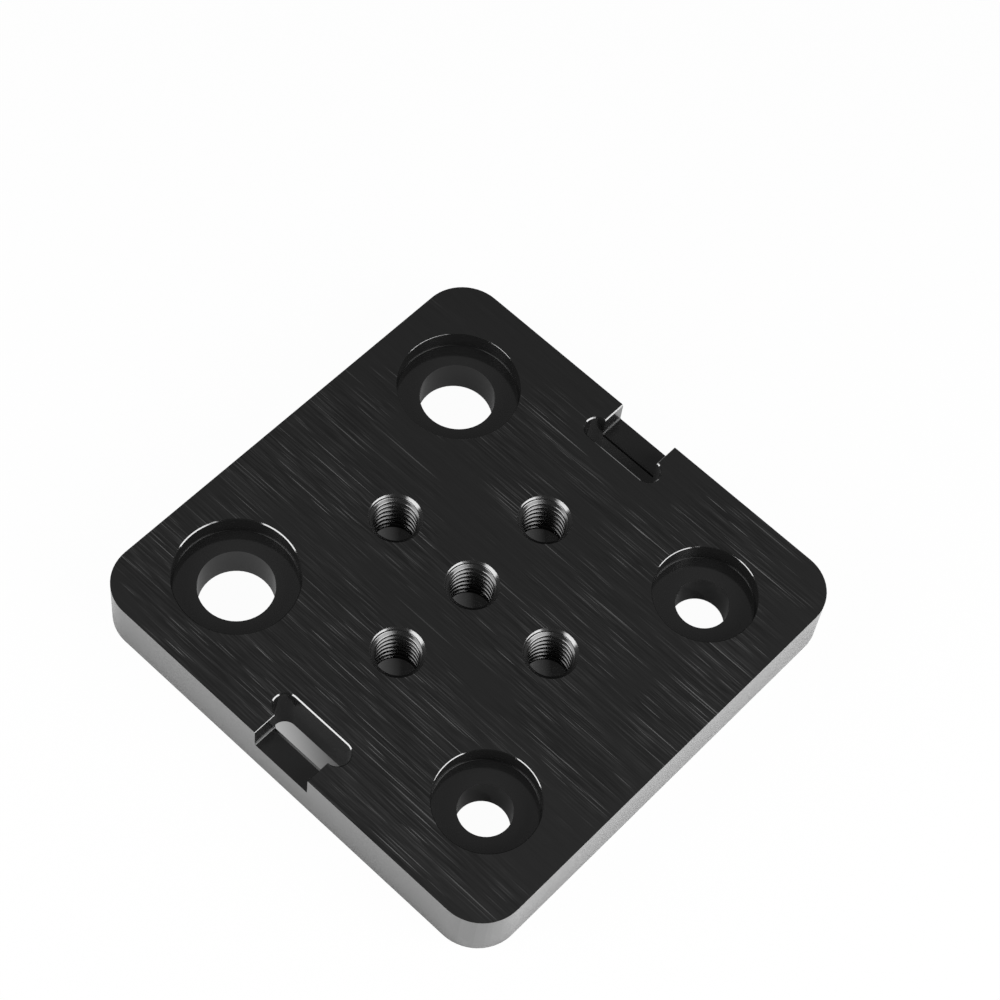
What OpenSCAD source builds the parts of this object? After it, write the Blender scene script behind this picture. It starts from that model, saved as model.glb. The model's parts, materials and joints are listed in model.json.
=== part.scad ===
// Gantry plate: a square machined carriage plate for a wheeled linear rail.
// It carries the rail's wheels in stepped holes, takes accessories on tapped holes,
// and holds the ends of a drive belt in a stepped slot at each end.
// X runs along the rail, Y across it and Z up out of the top face.
// The origin is the middle of the underside.

/* [Plate] */
// Length of the plate along the rail
plate_length = 50; // [46:0.5:80]
// Width of the plate across the rail
plate_width = 50; // [48:0.5:80]
// Thickness of the plate
plate_thickness = 6; // [5:0.25:12]
// Radius of the rounded corners
corner_radius = 4.4; // [2:0.1:8]

/* [Wheel holes] */
// Centre distance of the wheel holes along the rail
wheel_spacing_along = 30; // [26:0.5:33]
// Centre distance of the wheel holes across the rail
wheel_spacing_across = 32; // [28:0.5:36]
// Bore that takes the collar of an eccentric spacer
eccentric_bore = 7.4; // [6:0.1:9]
// Counterbore over each eccentric bore
eccentric_counterbore = 12.1; // [10:0.1:14]
// Bore that takes the screw of a fixed wheel
fixed_bore = 5.2; // [4:0.1:7]
// Counterbore over each fixed bore
fixed_counterbore = 10.1; // [8.5:0.1:13]
// Depth of the counterbores below the top face
counterbore_depth = 2; // [1:0.1:3.5]

/* [Tapped holes] */
// Core diameter of the tapped holes
tap_core = 4.2; // [3:0.1:5]
// Mouth diameter of the countersink at both ends of a tapped hole
tap_mouth = 5.3; // [5.1:0.1:7]
// Distance between opposite holes of the tapped cross
tap_spacing = 20; // [16:0.5:24]

/* [Belt slots] */
// Width of the slot that the belt goes down through
slot_width = 2.5; // [1.5:0.1:4]
// Length of the slot over its round ends
slot_length = 9.1; // [8:0.1:14]
// Length of the lowered step between the slot and the end of the plate
step_length = 2.6; // [1.5:0.1:5]
// Width of the lowered step
step_width = 6.7; // [4:0.1:7.5]
// Depth of the lowered step below the top face
step_depth = 2.5; // [1:0.1:3.5]

/* [Rims] */
// Edge break around the wheel holes and the belt slots at both faces
rim_break = 0.15; // [0.05:0.05:0.5]

/* [Hidden] */
$fn = 96;

// Run-out of every cutter past the surface that it opens
run_out = 1;
// Half the distances that place the holes and the slots
wheel_x = wheel_spacing_along / 2;
wheel_y = wheel_spacing_across / 2;
tap_offset = tap_spacing / 2;
slot_x = plate_length / 2 - step_length - slot_width / 2;
slot_end_y = (slot_length - slot_width) / 2;

// Rectangular slab of the plate's thickness, centred on the origin
module slab(length, width) {
    translate([-length / 2, -width / 2, 0]) cube([length, width, plate_thickness]);
}

// Plate blank: two crossed slabs and a round column in each corner
module blank() {
    slab(plate_length, plate_width - 2 * corner_radius);
    slab(plate_length - 2 * corner_radius, plate_width);
    for (side_x = [-1, 1], side_y = [-1, 1])
        translate([side_x * (plate_length / 2 - corner_radius), side_y * (plate_width / 2 - corner_radius), 0])
            cylinder(h = plate_thickness, r = corner_radius);
}

// Stepped wheel hole with broken rims at both faces, turned as one profile
module wheel_hole(bore, counterbore) {
    floor_z = plate_thickness - counterbore_depth;
    rim = bore / 2 + rim_break;
    mouth = counterbore / 2 + rim_break;
    rotate_extrude() polygon([
        [0, -run_out],
        [rim, -run_out],
        [rim, 0],
        [bore / 2, rim_break],
        [bore / 2, floor_z],
        [counterbore / 2, floor_z],
        [counterbore / 2, plate_thickness - rim_break],
        [mouth, plate_thickness],
        [mouth, plate_thickness + run_out],
        [0, plate_thickness + run_out]
    ]);
}

// Core of a tapped hole, countersunk at both faces
module tapped_hole() {
    sink = (tap_mouth - tap_core) / 2;
    rotate_extrude() polygon([
        [0, -run_out],
        [tap_mouth / 2, -run_out],
        [tap_mouth / 2, 0],
        [tap_core / 2, sink],
        [tap_core / 2, plate_thickness - sink],
        [tap_mouth / 2, plate_thickness],
        [tap_mouth / 2, plate_thickness + run_out],
        [0, plate_thickness + run_out]
    ]);
}

// Half section across the slot, with its rims broken at both faces
function slot_section() = [
    [0, -run_out],
    [slot_width / 2 + rim_break, -run_out],
    [slot_width / 2 + rim_break, 0],
    [slot_width / 2, rim_break],
    [slot_width / 2, plate_thickness - rim_break],
    [slot_width / 2 + rim_break, plate_thickness],
    [slot_width / 2 + rim_break, plate_thickness + run_out],
    [0, plate_thickness + run_out]
];

// Slot with round ends, cut right through
module belt_slot() {
    for (end = [-1, 1])
        translate([0, end * slot_end_y, 0]) rotate_extrude() polygon(slot_section());
    rotate([90, 0, 0])
        linear_extrude(height = 2 * slot_end_y, center = true)
            union() {
                polygon(slot_section());
                mirror([1, 0]) polygon(slot_section());
            }
}

// Lowered step that runs from the middle of the slot out past the end of the plate
module belt_step() {
    translate([0, -step_width / 2, plate_thickness - step_depth])
        cube([slot_width / 2 + step_length + run_out, step_width, step_depth + run_out]);
}

module gantry_plate() {
    color([0.09, 0.09, 0.09])
        difference() {
            blank();
            for (side = [-1, 1]) {
                translate([side * wheel_x, wheel_y, 0]) wheel_hole(eccentric_bore, eccentric_counterbore);
                translate([side * wheel_x, -wheel_y, 0]) wheel_hole(fixed_bore, fixed_counterbore);
                translate([side * tap_offset, 0, 0]) tapped_hole();
                translate([0, side * tap_offset, 0]) tapped_hole();
            }
            tapped_hole();
            for (turn = [0, 180])
                rotate([0, 0, turn])
                    translate([slot_x, 0, 0]) {
                        belt_slot();
                        belt_step();
                    }
        }
}

gantry_plate();
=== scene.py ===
"""Looks of the gantry plate: threads, black anodised finish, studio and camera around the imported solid."""
import json
import math

import bmesh
import bpy
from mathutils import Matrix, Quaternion, Vector


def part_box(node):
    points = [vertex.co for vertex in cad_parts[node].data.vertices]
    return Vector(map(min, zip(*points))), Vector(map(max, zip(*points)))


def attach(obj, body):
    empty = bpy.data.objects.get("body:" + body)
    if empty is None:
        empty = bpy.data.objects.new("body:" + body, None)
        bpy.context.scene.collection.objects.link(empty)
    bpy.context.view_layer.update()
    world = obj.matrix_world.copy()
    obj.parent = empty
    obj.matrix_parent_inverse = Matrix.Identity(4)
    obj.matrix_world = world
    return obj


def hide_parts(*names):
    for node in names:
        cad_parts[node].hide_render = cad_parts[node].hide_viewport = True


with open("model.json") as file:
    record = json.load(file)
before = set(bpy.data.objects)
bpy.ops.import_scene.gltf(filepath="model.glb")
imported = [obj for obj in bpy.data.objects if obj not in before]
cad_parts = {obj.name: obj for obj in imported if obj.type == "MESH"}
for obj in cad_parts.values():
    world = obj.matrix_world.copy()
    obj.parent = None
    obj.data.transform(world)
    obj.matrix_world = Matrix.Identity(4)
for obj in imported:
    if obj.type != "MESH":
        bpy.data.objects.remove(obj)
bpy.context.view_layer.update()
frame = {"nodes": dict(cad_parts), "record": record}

# One millimetre in the frame's metres; lengths below are in millimetres unless their comment says otherwise
MM = 0.001
plate_low, plate_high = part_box("gantry_plate")
mounts = {mount["name"]: mount for mount in frame["record"]["mounts"]}
tapped_holes = [mount for mount in mounts.values() if mount["kind"] == "threaded_hole"]

# How close counts as the same: for welds in metres, then for places, and for flat joints in radians
WELD = 1e-7
CUT_WELD = 1e-8
CLOSE = 0.01
ON_WALL = 0.001
FLAT_JOINT = 0.001
# A face is level if its normal has more than the first along Z, and upright if it has less than the second
LEVEL = 0.99
UPRIGHT = 0.01
# Edges that turn more than this stay sharp, and corners to be rounded turn more than the second
SMOOTH_ANGLE = math.radians(30)
CORNER_ANGLE = 1.0

# Threads of the tapped holes
THREAD_PITCH = 0.8
THREAD_MAJOR = 5.0
ROOT_WIDTH = THREAD_PITCH / 8
FLANK_ANGLE = math.radians(30)
TAP_MOUTH = 5.3
THREAD_START = 0.2
THREAD_COLUMNS = 72
FLANK_ROWS = 4
FLAT_ROWS = 2
MOUTH_BAND = 0.02
# Turns below the lower face, and turns added in all so that the thread runs past both faces
LEAD_TURNS = 2
SPARE_TURNS = 3

# Outline, belt slots and steps as the solid has them
CORNER_RADIUS = 4.4
SLOT_RADIUS = 1.25
SLOT_LENGTH = 9.1
STEP_LENGTH = 2.6
STEP_WIDTH = 6.7
STEP_DEPTH = 2.5
RIM_BREAK = 0.15
SLOT_X = plate_high.x / MM - STEP_LENGTH - SLOT_RADIUS
SLOT_END = SLOT_LENGTH / 2 - SLOT_RADIUS
STEP_FLOOR = plate_high.z / MM - STEP_DEPTH

# Hand finish of the edges: share of the rim break that is left on each counterbore and slot
RIM_SHARES = {
    "eccentric_seat_front": 0.16,
    "eccentric_seat_back": 0.64,
    "fixed_seat_front": 0.42,
    "fixed_seat_back": 0.48,
}
SLOT_SHARE = 0.75
# The inner edge of the front slot is narrower, and flatter by the second value
INNER_SHARE = 0.6
INNER_SINK = 0.78
# Fillets at the feet of walls, breaks along the steps, and the round lip between a step and its slot
SEAT_FILLET = 0.1
FILLET_ROWS = 3
STEP_FILLET = 0.1
STEP_BREAK = 0.04
STEP_BREAK_FRONT = 0.11
STEP_LIP = 0.3
# Flat faces are joined this far to both sides of a belt's middle
STEP_MARGIN = 4.2
BREAK, FILL = 1, -1
STEP_MARK, SEAT_MARK = 1, 2

# Anodised finish: the order of the plate's materials, their tones, roughness and index of refraction
BRUSHED, MILLED, STEPPED, TAPPED, FILLET, SEATED, WALL = range(7)
BLACK = 0.006
# The cut faces are the same anodising as the brushed face, given lighter blacks: painted light on the cut
# faces
MILLED_PAINTED_LIGHT_BLACK = 0.0095
SEAT_PAINTED_LIGHT_BLACK = 0.014
TAPPED_PAINTED_LIGHT_BLACK = 0.014
SOFT_ROUGHNESS = 0.3
MILLED_ROUGHNESS = 0.11
CUT_ROUGHNESS = 0.22
OXIDE_IOR = 2.0
SIDE_IOR = 2.75
FILLET_IOR = 1.3
# Painted sheen: the gloss of the outer wall, one anodising all round, goes in steps from the ends over the
# corners to the sides, stronger on the sides
WALL_STEPS = 9
END_COAT, SIDE_COAT = 0.48, 1.0
# An outer wall faces away from the middle at least so far, and lies at most so deep inside the plate's box
OUTWARD = 0.6
CORNER_INSET = 1.5

# Brush marks along Y, whose light tone is partly the grey of scratches in the oxide and partly a painted
# glint of the grooves. Lines: width, length and weight of each layer, then their strength and contrast
LINE_LAYERS = ((0.1, 2.5, 1.0), (0.13, 8.0, 0.8), (0.22, 30.0, 0.7))
LINE_STRENGTH = (0.08, 0.42)
LINE_RANGE = (0.25, 0.8)
LINE_POWER = 2.5
BRUSH_GREY_AND_GLINT = 0.045
# Hairs: width and length of the cells, radius in a cell and turn in degrees of each layer
HAIR_LAYERS = ((0.3, 26.0, 0.14, 0.0), (0.27, 10.0, 0.15, 0.4), (0.34, 40.0, 0.13, -0.3))
HAIR_SHARE = 0.6
BUNDLE_SIZE = (1.0, 9.0)
BUNDLE_RANGE = (0.4, 0.6)
BUNDLE_STRENGTH = (0.3, 1.2)
LONG_SCRATCHES = dict(across=1.3, along=90.0, radius=0.05, share=0.8, turn=0.1)
SCRATCH_GREY_AND_GLINT = 0.1
# Marks of this tone are rougher by the second value
MARK_FULL = 0.05
MARK_ROUGHNESS = 0.1
# Rubbed patches: their size, the noise that counts as rubbed, and the soft edge of a worn zone
PATCH_SIZE = (5.0, 11.0)
PATCH_RANGE = (0.49, 0.7)
ZONE_EDGE = (1.3, 0.7)
# Worn zones, where the brush marks are strongest: middle, reach and wear
WORN_ZONES = (
    (-17.0, 4.0, 9.0, 23.0, 0.2),
    (-2.0, 0.0, 3.0, 28.0, 0.2),
    (-1.0, 21.5, 12.0, 4.0, 0.2),
    (17.0, 9.0, 6.0, 3.0, 0.2),
    (19.0, -15.0, 5.0, 8.0, 0.2),
    (2.0, -22.0, 12.0, 3.0, 0.2),
    (-5.0, -18.0, 3.0, 6.0, 0.34),
)
# Noise of the marks: its fine share and its middle
NOISE_ROUGHNESS = 0.6
NOISE_MIDDLE = 0.5

# Camera that took the photograph
CAMERA_PLACE = (-101.39, -72.75, 235.34)
CAMERA_AIM = (8.543, 4.451, 6.0)
CAMERA_ROLL = math.radians(9.307)
CAMERA_LENS = 100.696
CAMERA_SENSOR = 36.0
# Nearest and farthest thing that the camera sees, in metres
CAMERA_CLIP = (0.01, 10)

# White floor, a little below the plate
FLOOR_RADIUS = 2500.0
FLOOR_SIDES = 96
FLOOR_GAP = 0.01
FLOOR_WHITE = 0.97
FLOOR_ALBEDO = 0.85
# Painted shade: the floor under the plate is darker than around it
PAINTED_SHADE_ALBEDO = 0.3
# Band around the plate where the floor dims in reflections as painted shade, and band at its edge where its
# tone changes to the painted shade under the plate
SHADE_WIDTH = 2.5
ALBEDO_EDGE = 1.0
# Floor under the wheel holes, painted light: its brightness in the bores, along the light and from one hole
# to another
WINDOW_RADIUS = 5.0
BORE_LIGHT = (-0.48, 0.88, 0)
BORE_REACH = 21.3
BORE_PAINTED_LIGHT = (-0.05, 0.2)
UNDER_LEAST = 0.03
# Painted light on the floor under the belt slots: where it starts, how far it reaches, and its brightness
# along the light
SLOT_INNER = 18.0
SLOT_REACH = 5.0
SLOT_SLANT = 1.6
SLOT_FLOOR = (0.04, 0.44)
UNDER_SLOT = 0.06
# Painted light on the floor under the tapped holes, which lie on a grid
HOLE_GRID = 10.0
TAP_REACH = (-1.0, 2.0)
UNDER_TAPS = (0.008, 0.06)

# Upright softboxes: place of the middle, range of heights, width and radiance
SOFTBOXES = {
    "left_low_softbox": dict(place=(-180.0, 67.0), rise=(30.0, 120.0), width=176.0, radiance=7.3),
    "left_high_softbox": dict(place=(-140.0, 100.0), rise=(112.0, 246.0), width=160.0, radiance=3.2),
    "right_low_softbox": dict(place=(47.0, -182.7), rise=(30.0, 120.0), width=180.0, radiance=7.3),
    "right_high_softbox": dict(place=(20.0, -150.0), rise=(98.0, 222.0), width=180.0, radiance=4.0),
}

# Dim room: brightness before and behind the plate, direction to its back, and half width of the change
ROOM_FRONT, ROOM_BACK = 0.01, 0.1
ROOM_AXIS = (math.cos(math.radians(35)), math.sin(math.radians(35)), 0)
ROOM_BLEND = 0.5


def link(obj):
    """Puts an object into the scene."""
    bpy.context.scene.collection.objects.link(obj)
    return obj


def corners_of(faces):
    """The vertices of some faces, each once and in a fixed order."""
    return list(dict.fromkeys(vert for face in faces for vert in face.verts))


def with_borders(faces):
    """Some faces with their edges and vertices, each once and in a fixed order."""
    edges = dict.fromkeys(edge for face in faces for edge in face.edges)
    return [*faces, *edges, *corners_of(faces)]


def thread_profile(core, major):
    """Rows of one pitch of the thread as (height, radius): crest, flank, root and flank."""
    flank = (major - core) * math.tan(FLANK_ANGLE)
    crest = THREAD_PITCH - ROOT_WIDTH - 2 * flank
    stretches = (
        (crest, core, core, FLAT_ROWS),
        (flank, core, major, FLANK_ROWS),
        (ROOT_WIDTH, major, major, FLAT_ROWS),
        (flank, major, core, FLANK_ROWS),
    )
    rows = []
    height = 0.0
    for length, first, last, count in stretches:
        for k in range(count):
            share = k / count
            rows.append((height + length * share, first + (last - first) * share))
        height += length
    return rows


def thread_tube(bm, centre, core):
    """Wall of a tapped hole: a right-hand thread that runs out in the countersinks at both faces."""
    height = (plate_high.z - plate_low.z) / MM
    low, high = MOUTH_BAND, height - MOUTH_BAND
    pitch_rows = thread_profile(core, THREAD_MAJOR / 2)
    first = low - LEAD_TURNS * THREAD_PITCH + THREAD_START
    turns = range(math.ceil((high - low) / THREAD_PITCH) + SPARE_TURNS)
    rows = [(first + THREAD_PITCH * turn + rise, radius) for turn in turns for rise, radius in pitch_rows]
    columns = []
    for j in range(THREAD_COLUMNS):
        angle = 2 * math.pi * j / THREAD_COLUMNS
        column = []
        for rise, radius in rows:
            z = min(max(rise + THREAD_PITCH * j / THREAD_COLUMNS, low), high)
            sink = TAP_MOUTH / 2 - min(z, height - z)
            r = sink if z in (low, high) else max(radius, sink)
            column.append(bm.verts.new((
                centre.x + r * MM * math.cos(angle),
                centre.y + r * MM * math.sin(angle),
                plate_low.z + z * MM,
            )))
        columns.append(column)
    last = len(rows) - 1
    faces = []
    for j, column in enumerate(columns):
        # the last column meets the first one a turn higher
        following = columns[(j + 1) % THREAD_COLUMNS]
        shift = len(pitch_rows) if j == THREAD_COLUMNS - 1 else 0
        for i in range(last):
            upper, lower = min(i + 1 + shift, last), min(i + shift, last)
            corners = dict.fromkeys((column[i], column[i + 1], following[upper], following[lower]))
            if len(corners) > 2:
                faces.append(bm.faces.new(list(corners)))
    return faces


def cut_thread(bm, hole):
    """Takes out a plain tapped hole's wall and puts a threaded one in its place."""
    centre = Vector(hole["pos_m"])
    reach = (TAP_MOUTH / 2 + MOUTH_BAND) * MM

    def inside(part):
        """Whether an edge or a face lies in the hole or on its mouth."""
        return all((vert.co - centre).xy.length < reach for vert in part.verts)

    bmesh.ops.delete(bm, geom=[face for face in bm.faces if inside(face)], context="FACES")
    tube = thread_tube(bm, centre, hole["dims"]["r_mm"])
    bmesh.ops.remove_doubles(bm, verts=corners_of(tube), dist=WELD)
    rims = [edge for edge in bm.edges if edge.is_boundary and inside(edge)]
    middle = (plate_low.z + plate_high.z) / 2
    for side in (-1, 1):
        bmesh.ops.bridge_loops(bm, edges=[rim for rim in rims if (rim.verts[0].co.z - middle) * side > 0])


def slot_spine(place):
    """Nearest point on the middle line of a belt slot."""
    return math.copysign(SLOT_X, place.x), max(-SLOT_END, min(SLOT_END, place.y))


def inner_spine(place):
    """The same for the straight inner side of the front slot alone; the middle of the plate elsewhere."""
    if 0 < place.x < SLOT_X and abs(place.y) < SLOT_END + CLOSE:
        return SLOT_X, place.y
    return 0, 0


def ease_rim(bm, spine, radius, share, sink=1.0):
    """Narrows the break at the top of a hole to a share of its width; the hole lies around its spine."""
    for vert in bm.verts:
        place = vert.co / MM
        middle = Vector(spine(place))
        out = place.xy - middle
        drop = (plate_high.z - vert.co.z) / MM
        past = out.length - radius
        if drop < RIM_BREAK + CLOSE and abs(past + drop - RIM_BREAK) < CLOSE:
            eased = middle + out * (radius + past * share) / out.length
            vert.co = Vector((eased.x, eased.y, plate_high.z / MM - drop * share * sink)) * MM


def join_flats(bm):
    """Joins the triangles of the flat faces around the belt steps, so that their edges round evenly."""
    def on_top(vert):
        return abs(vert.co.z - plate_high.z) < WELD

    for side in (-1, 1):
        top = [face for face in bm.faces if all(on_top(vert) for vert in face.verts)]
        place = (0, side * STEP_MARGIN * MM, 0)
        bmesh.ops.bisect_plane(
            bm, geom=with_borders(top), dist=CUT_WELD, plane_co=place, plane_no=(0, 1, 0))
    around = set()
    for face in bm.faces:
        centre = face.calc_center_median() / MM
        beside = abs(centre.x) > SLOT_X + SLOT_RADIUS - RIM_BREAK and abs(centre.y) < STEP_MARGIN
        if beside or abs(centre.x) > plate_high.x / MM - ON_WALL:
            around.add(face)
    inner = [
        edge for edge in bm.edges
        if around.issuperset(edge.link_faces) and edge.calc_face_angle(CORNER_ANGLE) < FLAT_JOINT
    ]
    bmesh.ops.dissolve_edges(bm, edges=inner, use_verts=False)


def shape_corner(bm, axis, side, wall, level, way, width, chosen, flat=False):
    """Breaks the edge or fills the foot of a wall across an axis, where it meets a level face."""
    def along(vert):
        """How far a vertex on the wall or the level face is past the border on the wall; None elsewhere."""
        place = vert.co / MM
        out, drop = way * (place[axis] * side - wall), way * (level - place.z)
        if chosen(place) and min(abs(out), abs(drop)) < CLOSE and min(out, drop) > -CLOSE:
            return width + out - drop
        return None

    across = Vector((axis == 0, axis == 1, 0))
    borders = (
        (across * side * (wall + way * width), across),
        (Vector((0, 0, level - way * width)), (0, 0, 1)),
    )
    for place, normal in borders:
        faces = [face for face in bm.faces if all(along(vert) is not None for vert in face.verts)]
        bmesh.ops.bisect_plane(
            bm, geom=with_borders(faces), dist=CUT_WELD, plane_co=place * MM, plane_no=normal)
    marked = bm.faces.layers.int["rounded"]
    strip = []
    for face in bm.faces:
        lengths = [along(vert) for vert in face.verts]
        if all(length is not None and -CLOSE / 2 < length < 2 * width + CLOSE / 2 for length in lengths):
            strip.append(face)
            face[marked] = STEP_MARK
    for vert in corners_of(strip):
        share = along(vert) / (2 * width)
        turn = share * math.pi / 2
        out, drop = (share, 1 - share) if flat else (1 - math.cos(turn), 1 - math.sin(turn))
        vert.co[axis] = side * (wall + way * out * width) * MM
        vert.co.z = (level - way * drop * width) * MM


def fill_corner(bm, seat):
    """Rounds the corner between the wall and the floor of a counterbore."""
    centre, radius = Vector(seat["pos_m"]) / MM, seat["dims"]["r_mm"]
    floor_z = centre.z - seat["dims"]["length_mm"] / 2

    def in_corner(vert):
        place = vert.co / MM
        return abs(place.z - floor_z) < CLOSE and abs((place - centre).xy.length - radius) < CLOSE

    edges = [
        edge for edge in bm.edges
        if all(in_corner(vert) for vert in edge.verts) and edge.calc_face_angle(0) > CORNER_ANGLE
    ]
    filled = bmesh.ops.bevel(
        bm, geom=edges, offset=SEAT_FILLET * MM, segments=FILLET_ROWS, profile=0.5,
        affect="EDGES", loop_slide=False)
    marked = bm.faces.layers.int["rounded"]
    for face in filled["faces"]:
        face[marked] = SEAT_MARK


def finish_step(bm, side_x):
    """Breaks the upper edges of a belt step, fills the feet of its walls and rounds its lip at the slot."""
    def beside(place):
        return place.x * side_x > SLOT_X + SLOT_RADIUS / 2

    def across(place):
        return abs(place.y) < STEP_WIDTH / 2 + CLOSE

    half = STEP_WIDTH / 2
    for side_y in (-1, 1):
        width = STEP_BREAK_FRONT if side_x + side_y == 2 else STEP_BREAK
        shape_corner(bm, 1, side_y, half, plate_high.z / MM, BREAK, width, beside, flat=True)
        shape_corner(bm, 1, side_y, half, STEP_FLOOR, FILL, STEP_FILLET, beside)
    shape_corner(bm, 0, side_x, SLOT_X + SLOT_RADIUS, STEP_FLOOR, BREAK, STEP_LIP, across)


def finish_edges(bm):
    """Hand finish: eased rims, fillets at the feet of walls, breaks along the belt steps."""
    join_flats(bm)
    for name, share in RIM_SHARES.items():
        seat = Vector(mounts[name]["pos_m"]) / MM
        ease_rim(bm, lambda place: seat.xy, mounts[name]["dims"]["r_mm"], share)
    ease_rim(bm, inner_spine, SLOT_RADIUS, INNER_SHARE, INNER_SINK)
    ease_rim(bm, slot_spine, SLOT_RADIUS, SLOT_SHARE)
    for name in RIM_SHARES:
        fill_corner(bm, mounts[name])
    for side_x in (-1, 1):
        finish_step(bm, side_x)


def face_finish(face):
    """Which finish a face has: thread, brushed face, outer wall, belt step, seat floor or other cut."""
    centre, normal = face.calc_center_median(), face.normal
    for hole in tapped_holes:
        if (centre - Vector(hole["pos_m"])).xy.length < (TAP_MOUTH / 2 - ON_WALL) * MM:
            return TAPPED
    depth = min(centre.z - plate_low.z, plate_high.z - centre.z)
    if abs(normal.z) > LEVEL and depth < CLOSE * MM:
        return BRUSHED
    inset = min(plate_high.x - abs(centre.x), plate_high.y - abs(centre.y))
    faces_out = abs(normal.z) < UPRIGHT and normal.dot(centre) > OUTWARD * centre.xy.length
    if faces_out and inset < CORNER_INSET * MM:
        turn = math.atan2(abs(normal.y), abs(normal.x)) / (math.pi / 2)
        return WALL + round((WALL_STEPS - 1) * turn ** 2)
    past_slot = abs(centre.x) > plate_high.x - STEP_LENGTH * MM
    if past_slot and abs(centre.y) < (STEP_WIDTH / 2 + STEP_BREAK_FRONT) * MM:
        return STEPPED
    return SEATED if normal.z > LEVEL else MILLED


def plate_mesh():
    """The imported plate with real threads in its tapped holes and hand-finished edges."""
    bm = bmesh.new()
    bm.from_mesh(frame["nodes"]["gantry_plate"].data)
    marked = bm.faces.layers.int.new("rounded")
    bmesh.ops.remove_doubles(bm, verts=bm.verts, dist=WELD)
    finish_edges(bm)
    for hole in tapped_holes:
        cut_thread(bm, hole)
    bmesh.ops.dissolve_degenerate(bm, edges=bm.edges, dist=CUT_WELD)
    bmesh.ops.recalc_face_normals(bm, faces=bm.faces)
    for face in bm.faces:
        face.smooth = True
        face.material_index = FILLET if face[marked] == SEAT_MARK else face_finish(face)
    for edge in bm.edges:
        alike = len({face[marked] for face in edge.link_faces}) == 1
        ridge = all(face.material_index == TAPPED for face in edge.link_faces)
        edge.smooth = edge.is_manifold and (ridge or alike and edge.calc_face_angle() < SMOOTH_ANGLE)
    mesh = bpy.data.meshes.new("threaded_plate")
    bm.to_mesh(mesh)
    bm.free()
    return mesh


class Nodes:
    """Node tree of a material or the world, with short calls for the nodes that are used here."""

    def __init__(self, owner):
        owner.use_nodes = True
        self.tree = owner.node_tree

    def add(self, kind):
        return self.tree.nodes.new(kind)

    def link(self, output, socket):
        self.tree.links.new(output, socket)

    def place(self):
        """Place in the object's own frame."""
        return self.add("ShaderNodeTexCoord").outputs["Object"]

    def math(self, operation, *values):
        """Result of one operation on numbers and outputs."""
        node = self.add("ShaderNodeMath")
        node.operation = operation
        for socket, value in zip(node.inputs, values):
            if isinstance(value, (int, float)):
                socket.default_value = value
            else:
                self.link(value, socket)
        return node.outputs[0]

    def chain(self, operation, *values):
        """One result from several values, by the same operation again and again."""
        result = values[0]
        for value in values[1:]:
            result = self.math(operation, result, value)
        return result

    def vector(self, operation, value, other=None):
        """Result of a vector operation on an output, with a constant as the other operand."""
        node = self.add("ShaderNodeVectorMath")
        node.operation = operation
        self.link(value, node.inputs[0])
        if other is not None:
            node.inputs[1].default_value = other
        is_number = operation in ("LENGTH", "DISTANCE", "DOT_PRODUCT")
        return node.outputs["Value" if is_number else "Vector"]

    def ramp(self, value, low, high, to_low=0.0, to_high=1.0):
        """A value taken from one range to another, and held at its ends."""
        node = self.add("ShaderNodeMapRange")
        limits = {"From Min": low, "From Max": high, "To Min": to_low, "To Max": to_high}
        for name, number in limits.items():
            node.inputs[name].default_value = number
        self.link(value, node.inputs["Value"])
        return node.outputs[0]

    def grey(self, value):
        """Colour with the same value in each channel."""
        node = self.add("ShaderNodeCombineColor")
        for channel in ("Red", "Green", "Blue"):
            self.link(value, node.inputs[channel])
        return node.outputs["Color"]


def drawn_out(nodes, across, along, turn):
    """Place on the plate in cells that are drawn out along Y and turned a little, in degrees."""
    rotate = nodes.add("ShaderNodeVectorRotate")
    rotate.rotation_type = "Z_AXIS"
    rotate.inputs["Angle"].default_value = math.radians(turn)
    nodes.link(nodes.place(), rotate.inputs["Vector"])
    stretch = nodes.add("ShaderNodeMapping")
    stretch.inputs["Scale"].default_value = (1 / (across * MM), 1 / (along * MM), 1 / (along * MM))
    nodes.link(rotate.outputs["Vector"], stretch.inputs["Vector"])
    return stretch.outputs["Vector"]


def streaks(nodes, across, along, detail=1):
    """Noise drawn out along Y, from 0 to 1 around a middle of a half."""
    noise = nodes.add("ShaderNodeTexNoise")
    noise.inputs["Scale"].default_value = 1
    noise.inputs["Detail"].default_value = detail
    noise.inputs["Roughness"].default_value = NOISE_ROUGHNESS
    nodes.link(drawn_out(nodes, across, along, 0), noise.inputs["Vector"])
    return noise.outputs["Fac"]


def needles(nodes, across, along, radius, share, turn):
    """Thin scratches of differing strength, one in each drawn-out cell, in a share of the cells."""
    cells = nodes.add("ShaderNodeTexVoronoi")
    cells.voronoi_dimensions = "2D"
    cells.inputs["Scale"].default_value = 1
    nodes.link(drawn_out(nodes, across, along, turn), cells.inputs["Vector"])
    near = nodes.ramp(cells.outputs["Distance"], radius, radius / 2)
    chance = nodes.add("ShaderNodeSeparateColor")
    nodes.link(cells.outputs["Color"], chance.inputs["Color"])
    strength = nodes.ramp(chance.outputs["Red"], 1 - share, 1)
    return nodes.math("MULTIPLY", near, strength)


def rubbed_patches(nodes):
    """How strong the brush marks are, from 0 to 1: soft patches, more of them in the worn zones."""
    place = nodes.place()
    zones = []
    for centre_x, centre_y, reach_x, reach_y, wear in WORN_ZONES:
        off = nodes.vector("SUBTRACT", place, (centre_x * MM, centre_y * MM, 0))
        off = nodes.vector("MULTIPLY", off, (1 / (reach_x * MM), 1 / (reach_y * MM), 0))
        zones.append(nodes.ramp(nodes.vector("LENGTH", off), *ZONE_EDGE, 0.0, wear))
    worn = nodes.chain("MAXIMUM", *zones)
    return nodes.ramp(nodes.math("ADD", streaks(nodes, *PATCH_SIZE, detail=2), worn), *PATCH_RANGE)


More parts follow.
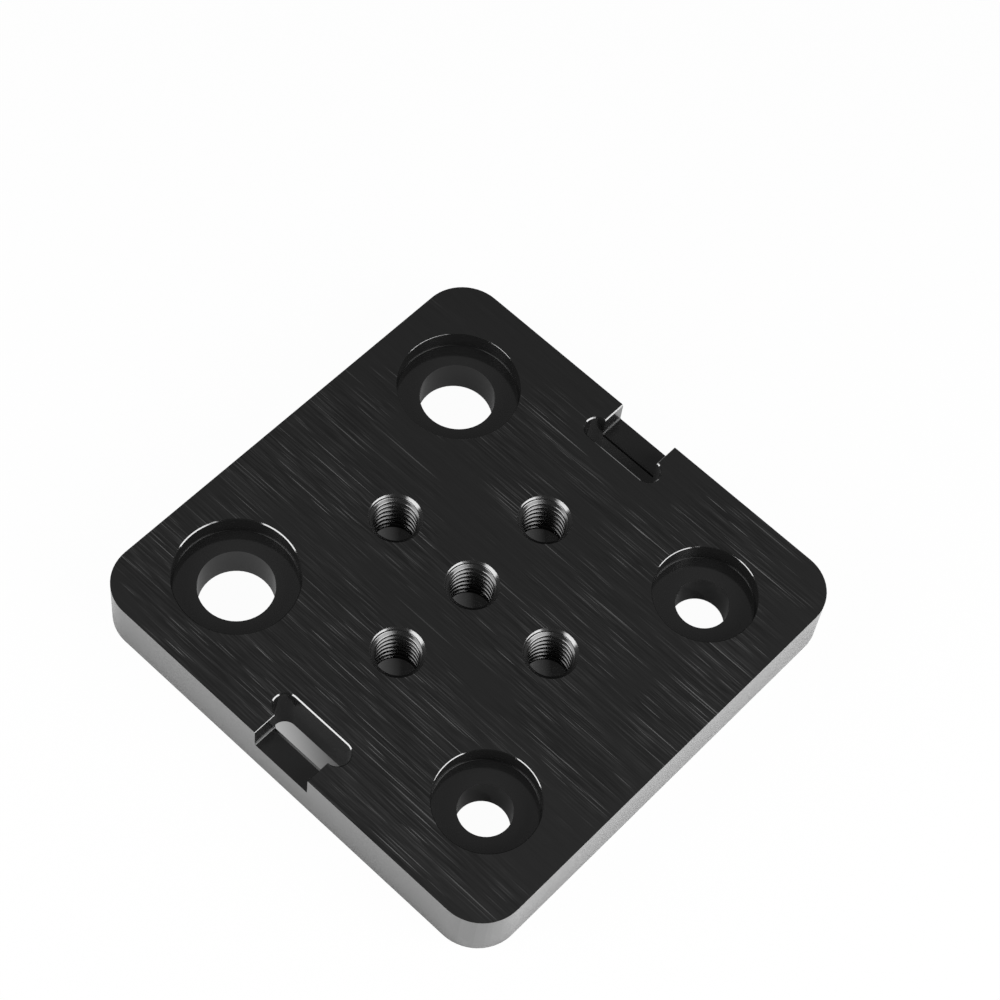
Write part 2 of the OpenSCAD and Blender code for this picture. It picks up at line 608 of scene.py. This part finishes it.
def brush_lines(nodes, rubbed):
    """Fine light and dark lines, faint where the face is not rubbed."""
    layers = []
    for across, along, weight in LINE_LAYERS:
        layer = nodes.math("SUBTRACT", streaks(nodes, across, along), NOISE_MIDDLE)
        layers.append(nodes.math("MULTIPLY", layer, weight))
    strength = nodes.ramp(rubbed, 0, 1, *LINE_STRENGTH)
    lines = nodes.math("MULTIPLY_ADD", nodes.chain("ADD", *layers), strength, NOISE_MIDDLE)
    return nodes.math("POWER", nodes.ramp(lines, *LINE_RANGE), LINE_POWER)


def brush_hairs(nodes, rubbed):
    """Bright hair lines in bundles, where the face is rubbed."""
    layers = []
    for across, along, radius, turn in HAIR_LAYERS:
        layers.append(needles(nodes, across, along, radius, HAIR_SHARE, turn))
    bundles = nodes.ramp(streaks(nodes, *BUNDLE_SIZE), *BUNDLE_RANGE, *BUNDLE_STRENGTH)
    return nodes.chain("MULTIPLY", nodes.chain("MAXIMUM", *layers), rubbed, bundles)


def anodised(name, roughness, coat=0.0, black=BLACK, ior=OXIDE_IOR):
    """Black anodised aluminium: a dark dyed oxide layer with a clear gloss of its own."""
    material = bpy.data.materials.new(name)
    material.use_nodes = True
    shader = material.node_tree.nodes["Principled BSDF"]
    shader.inputs["Base Color"].default_value = (black, black, black, 1)
    shader.inputs["Roughness"].default_value = roughness
    shader.inputs["IOR"].default_value = ior
    shader.inputs["Coat Weight"].default_value = coat
    shader.inputs["Coat Roughness"].default_value = roughness
    return material


def brushed(name, roughness):
    """Anodised over brush marks along Y: lines and hairs, stronger in some places, and long scratches; their
    light tone is partly grey scratch and partly painted glint.
    """
    material = anodised(name, roughness)
    shader = material.node_tree.nodes["Principled BSDF"]
    nodes = Nodes(material)
    rubbed = rubbed_patches(nodes)
    scratches = nodes.math("MAXIMUM", brush_hairs(nodes, rubbed), needles(nodes, **LONG_SCRATCHES))
    scratches = nodes.math("MULTIPLY", scratches, SCRATCH_GREY_AND_GLINT)
    marks_and_glint = nodes.math("MULTIPLY_ADD", brush_lines(nodes, rubbed), BRUSH_GREY_AND_GLINT, scratches)
    rough = nodes.ramp(marks_and_glint, 0, MARK_FULL, roughness, roughness + MARK_ROUGHNESS)
    nodes.link(nodes.grey(marks_and_glint), shader.inputs["Base Color"])
    nodes.link(rough, shader.inputs["Roughness"])
    return material


def wall_painted_sheen(step):
    """Painted sheen of one step of the outer wall, glossier from the ends of the plate to its sides."""
    share = step / (WALL_STEPS - 1)
    coat = END_COAT + (SIDE_COAT - END_COAT) * share
    ior = OXIDE_IOR + (SIDE_IOR - OXIDE_IOR) * share
    return anodised(f"anodised_wall_painted_sheen_{step}", SOFT_ROUGHNESS, coat=coat, ior=ior)


def make_plate():
    """The finished plate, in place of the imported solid."""
    plate = link(bpy.data.objects.new("threaded_plate", plate_mesh()))
    finishes = [
        brushed("anodised_brushed", SOFT_ROUGHNESS),
        # The milled, stepped, tapped and seat faces carry lighter blacks: painted light
        anodised("anodised_milled_painted_light", MILLED_ROUGHNESS, black=MILLED_PAINTED_LIGHT_BLACK),
        anodised("anodised_stepped_painted_light", CUT_ROUGHNESS, black=MILLED_PAINTED_LIGHT_BLACK),
        anodised("anodised_tapped_painted_light", CUT_ROUGHNESS, black=TAPPED_PAINTED_LIGHT_BLACK),
        anodised("anodised_fillet", SOFT_ROUGHNESS, ior=FILLET_IOR),
        anodised("anodised_seat_painted_light", MILLED_ROUGHNESS, black=SEAT_PAINTED_LIGHT_BLACK),
        *(wall_painted_sheen(step) for step in range(WALL_STEPS)),
    ]
    for finish in finishes:
        plate.data.materials.append(finish)
    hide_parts("gantry_plate")
    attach(plate, "root")


def outline_distance(nodes, quarter):
    """Distance from the plate's outline in metres, below zero under the plate."""
    inner = (plate_high.x - CORNER_RADIUS * MM, plate_high.y - CORNER_RADIUS * MM, 0)
    past = nodes.vector("SUBTRACT", quarter, inner)
    past = nodes.vector("MAXIMUM", past, (0, 0, 0))
    return nodes.math("SUBTRACT", nodes.vector("LENGTH", past), CORNER_RADIUS * MM)


def white_around(nodes, outside, camera):
    """Floor around the plate: white to the camera, and dimmer towards the plate in reflections by painted
    shade.
    """
    clear = nodes.math("GREATER_THAN", outside, 0.0)
    shade = nodes.ramp(outside, 0.0, SHADE_WIDTH * MM)
    return nodes.math("MULTIPLY", clear, nodes.math("MAXIMUM", shade, camera))


def painted_light_under_bores(nodes, place, quarter, camera):
    """Floor under the wheel holes: painted white light to the camera, and a dim painted light in the gloss
    of the bores.
    """
    wheel = Vector(mounts["fixed_bore_front"]["pos_m"])
    reach = nodes.vector("DISTANCE", quarter, (abs(wheel.x), abs(wheel.y), 0))
    window = nodes.math("LESS_THAN", reach, WINDOW_RADIUS * MM)
    slant = nodes.vector("DOT_PRODUCT", place, BORE_LIGHT)
    painted_bore_light = nodes.ramp(slant, -BORE_REACH * MM, BORE_REACH * MM, *BORE_PAINTED_LIGHT)
    return nodes.math("MULTIPLY", window, nodes.chain("MAXIMUM", painted_bore_light, UNDER_LEAST, camera))


def painted_light_under_slots(nodes, spot, corner, camera):
    """Floor under the belt slots: painted light from the side to the camera, and a dim painted light in the
    gloss of the slots.
    """
    slot = nodes.math("GREATER_THAN", corner.outputs["X"], SLOT_INNER * MM)
    near = nodes.math("LESS_THAN", corner.outputs["Y"], SLOT_REACH * MM)
    outward = nodes.math("SUBTRACT", corner.outputs["X"], SLOT_X * MM)
    along = nodes.math("MULTIPLY_ADD", outward, SLOT_SLANT, spot.outputs["Y"])
    lit = nodes.ramp(along, -SLOT_REACH * MM, SLOT_REACH * MM, *SLOT_FLOOR)
    lit = nodes.math("MAXIMUM", nodes.math("MULTIPLY", lit, camera), UNDER_SLOT)
    return nodes.chain("MULTIPLY", slot, near, lit)


def painted_light_under_taps(nodes, spot):
    """Floor under the tapped holes: painted light, a little lighter towards one side of each."""
    half = HOLE_GRID / 2 * MM
    along = nodes.math("WRAP", spot.outputs["Y"], half, -half)
    outward = nodes.math("WRAP", spot.outputs["X"], half, -half)
    low, high = TAP_REACH
    return nodes.ramp(nodes.math("SUBTRACT", along, outward), low * MM, high * MM, *UNDER_TAPS)


def floor_material():
    """White floor: plain white around the plate to the camera and to gloss, with painted light under the
    holes and slots and painted shade near the plate; a lit floor with painted shade under the plate to all
    else.
    """
    material = bpy.data.materials.new("white_floor")
    nodes = Nodes(material)
    nodes.tree.nodes.clear()
    path = nodes.add("ShaderNodeLightPath")
    camera, gloss = path.outputs["Is Camera Ray"], path.outputs["Is Glossy Ray"]
    seen = nodes.chain("MAXIMUM", camera, gloss, path.outputs["Is Transmission Ray"])
    place = nodes.place()
    quarter = nodes.vector("ABSOLUTE", place)
    outside = outline_distance(nodes, quarter)
    spot, corner = nodes.add("ShaderNodeSeparateXYZ"), nodes.add("ShaderNodeSeparateXYZ")
    nodes.link(place, spot.inputs[0])
    nodes.link(quarter, corner.inputs[0])
    white = nodes.chain(
        "MAXIMUM",
        white_around(nodes, outside, camera),
        painted_light_under_bores(nodes, place, quarter, camera),
        painted_light_under_slots(nodes, spot, corner, camera),
        painted_light_under_taps(nodes, spot),
    )
    # The floor is darker under the plate: painted shade
    albedo = nodes.ramp(outside, -ALBEDO_EDGE * MM, 0, PAINTED_SHADE_ALBEDO, FLOOR_ALBEDO)
    diffuse = nodes.add("ShaderNodeBsdfDiffuse")
    nodes.link(nodes.grey(albedo), diffuse.inputs["Color"])
    glow = nodes.add("ShaderNodeEmission")
    mix = nodes.add("ShaderNodeMixShader")
    nodes.link(nodes.chain("MULTIPLY", white, FLOOR_WHITE, seen), mix.inputs["Fac"])
    nodes.link(diffuse.outputs[0], mix.inputs[1])
    nodes.link(glow.outputs[0], mix.inputs[2])
    nodes.link(mix.outputs[0], nodes.add("ShaderNodeOutputMaterial").inputs["Surface"])
    return material


def make_floor():
    """Round white floor under the plate."""
    bm = bmesh.new()
    bmesh.ops.create_circle(bm, cap_ends=True, radius=FLOOR_RADIUS * MM, segments=FLOOR_SIDES)
    mesh = bpy.data.meshes.new("floor")
    bm.to_mesh(mesh)
    bm.free()
    mesh.materials.append(floor_material())
    floor = link(bpy.data.objects.new("floor", mesh))
    floor.location.z = plate_low.z - FLOOR_GAP * MM


def softbox(name, place, rise, width, radiance):
    """Upright panel that faces the plate's middle and spans a range of heights."""
    data = bpy.data.lights.new(name, "AREA")
    data.shape = "RECTANGLE"
    data.size = width * MM
    data.size_y = (rise[1] - rise[0]) * MM
    data.energy = radiance * math.pi * data.size * data.size_y
    lamp = link(bpy.data.objects.new(name, data))
    lamp.location = Vector((place[0], place[1], (rise[0] + rise[1]) / 2)) * MM
    lamp.rotation_mode = "QUATERNION"
    lamp.rotation_quaternion = Vector((place[0], place[1], 0)).to_track_quat("Z", "Y")
    lamp.visible_camera = False


def make_world():
    """White to the camera; to everything else a dim room that is lighter behind the plate."""
    world = bpy.data.worlds.new("studio")
    nodes = Nodes(world)
    background = nodes.tree.nodes["Background"]
    background.inputs["Color"].default_value = (1, 1, 1, 1)
    direction = nodes.add("ShaderNodeTexCoord").outputs["Generated"]
    along = nodes.vector("DOT_PRODUCT", direction, ROOM_AXIS)
    room = nodes.ramp(along, -ROOM_BLEND, ROOM_BLEND, ROOM_FRONT, ROOM_BACK)
    camera = nodes.add("ShaderNodeLightPath").outputs["Is Camera Ray"]
    nodes.link(nodes.math("MAXIMUM", room, camera), background.inputs["Strength"])
    bpy.context.scene.world = world


def make_camera():
    """Camera at the place from which the photograph was taken."""
    data = bpy.data.cameras.new("camera")
    data.sensor_width = CAMERA_SENSOR
    data.lens = CAMERA_LENS
    data.clip_start, data.clip_end = CAMERA_CLIP
    camera = link(bpy.data.objects.new("camera", data))
    place, aim = Vector(CAMERA_PLACE) * MM, Vector(CAMERA_AIM) * MM
    camera.location = place
    camera.rotation_mode = "QUATERNION"
    upright = (aim - place).to_track_quat("-Z", "Y")
    camera.rotation_quaternion = upright @ Quaternion((0, 0, 1), CAMERA_ROLL)
    bpy.context.scene.camera = camera


make_plate()
make_floor()
make_world()
for lamp_name, settings in SOFTBOXES.items():
    softbox(lamp_name, **settings)
make_camera()
bpy.context.scene.view_settings.view_transform = "Standard"
